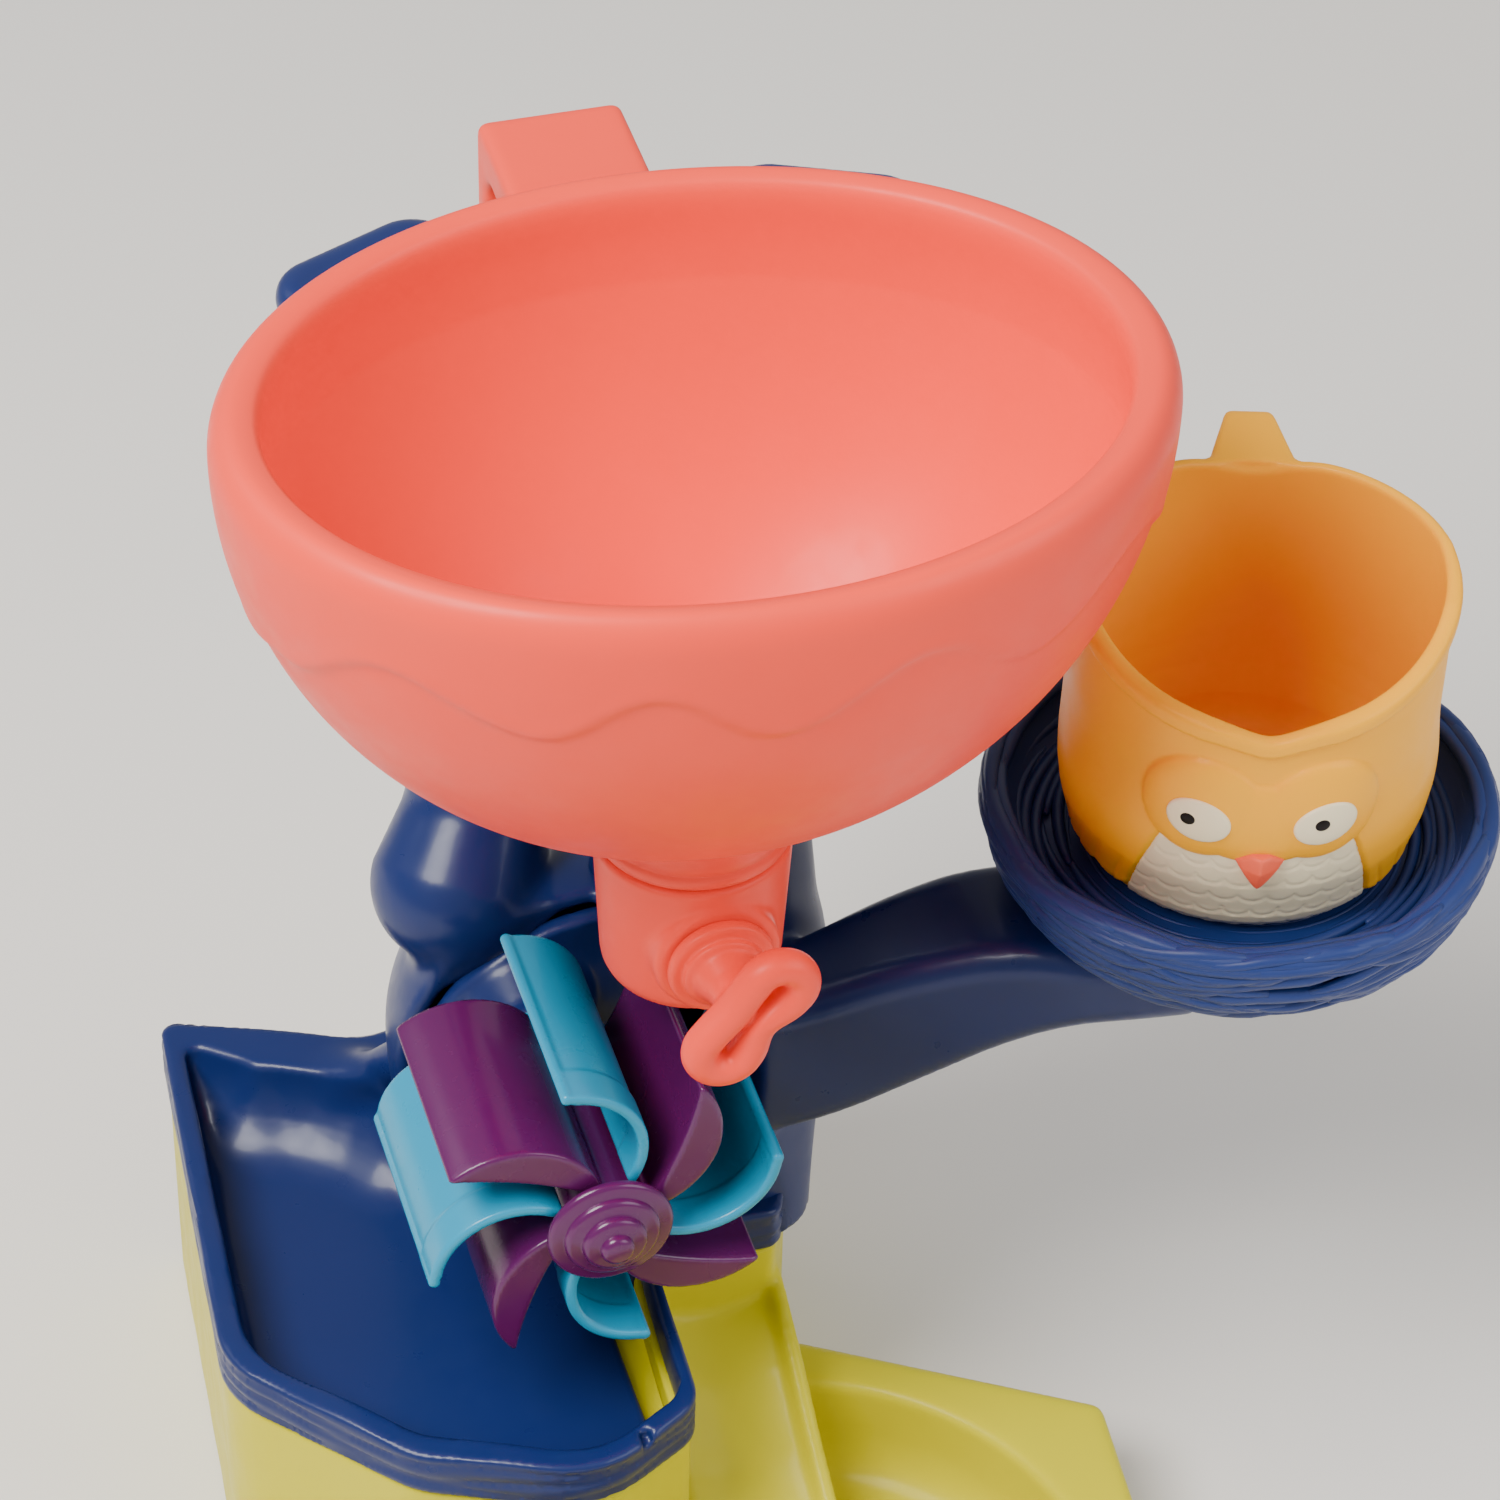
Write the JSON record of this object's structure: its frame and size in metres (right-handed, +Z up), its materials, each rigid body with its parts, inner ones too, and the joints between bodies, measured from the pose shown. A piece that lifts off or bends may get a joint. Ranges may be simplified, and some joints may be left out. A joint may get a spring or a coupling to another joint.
{
  "type": "sand wheel toy",
  "caption": "Tree-shaped sand and water wheel toy with an oval funnel bowl, pull-out stopper, spinning scoop wheel, tray, basin and an owl pouring cup in a nest.",
  "frame": {"origin": "on the table, straight below the axis of the funnel bowl", "axes": "+Z up, -Y to the front where the wheel and the stopper face, +X towards the nest"},
  "size_m": [0.2823, 0.2594, 0.32],
  "materials": {
    "coral_plastic": "satin",
    "navy_plastic": "gloss",
    "purple_plastic": "gloss",
    "teal_plastic": "gloss",
    "lime_plastic": "satin",
    "yellow_plastic": "satin",
    "bush_plastic": "matte",
    "steel": "satin"
  },
  "bodies": {
    "tower": {"base_tray": "lime_plastic", "deck_tray": "navy_plastic", "trunk_shell": "navy_plastic", "axle_bracket": "navy_plastic", "limb_left": "navy_plastic", "limb_right": "navy_plastic", "bowl_yoke": "navy_plastic", "branch_arm": "navy_plastic", "nest": "navy_plastic", "axle_bush": "bush_plastic", "trunk_screws": "steel", "bracket_screws": "steel", "limb_screws": "steel", "yoke_screw": "steel", "nest_screw": "steel", "deck_screws": "steel"},
    "wheel": {"wheel_purple": "purple_plastic", "wheel_teal": "teal_plastic", "hub_cap": "purple_plastic", "axle": "steel", "axle_washer": "steel", "axle_clip": "steel", "axle_nut": "steel"},
    "bowl": {"funnel_bowl": "coral_plastic", "outlet_cup": "coral_plastic"},
    "stopper": {"stopper": "coral_plastic"},
    "cup": {"owl_cup": "yellow_plastic"}
  },
  "joints": [
    {"name": "wheel_spin", "type": "hinge", "parent": "tower", "child": "wheel", "pos_m": [-0.0253, 0, 0.123], "axis": [0, 1, 0], "continuous": true},
    {"name": "bowl_lift", "type": "slide", "parent": "tower", "child": "bowl", "axis": [0, 0, 1], "range_m": [0, 0.15]},
    {"name": "stopper_pull", "type": "slide", "parent": "bowl", "child": "stopper", "axis": [0, -1, 0], "range_m": [0, 0.04]},
    {"name": "cup_lift", "type": "slide", "parent": "tower", "child": "cup", "axis": [0.4, 0, 0.9165], "range_m": [0, 0.14]}
  ]
}
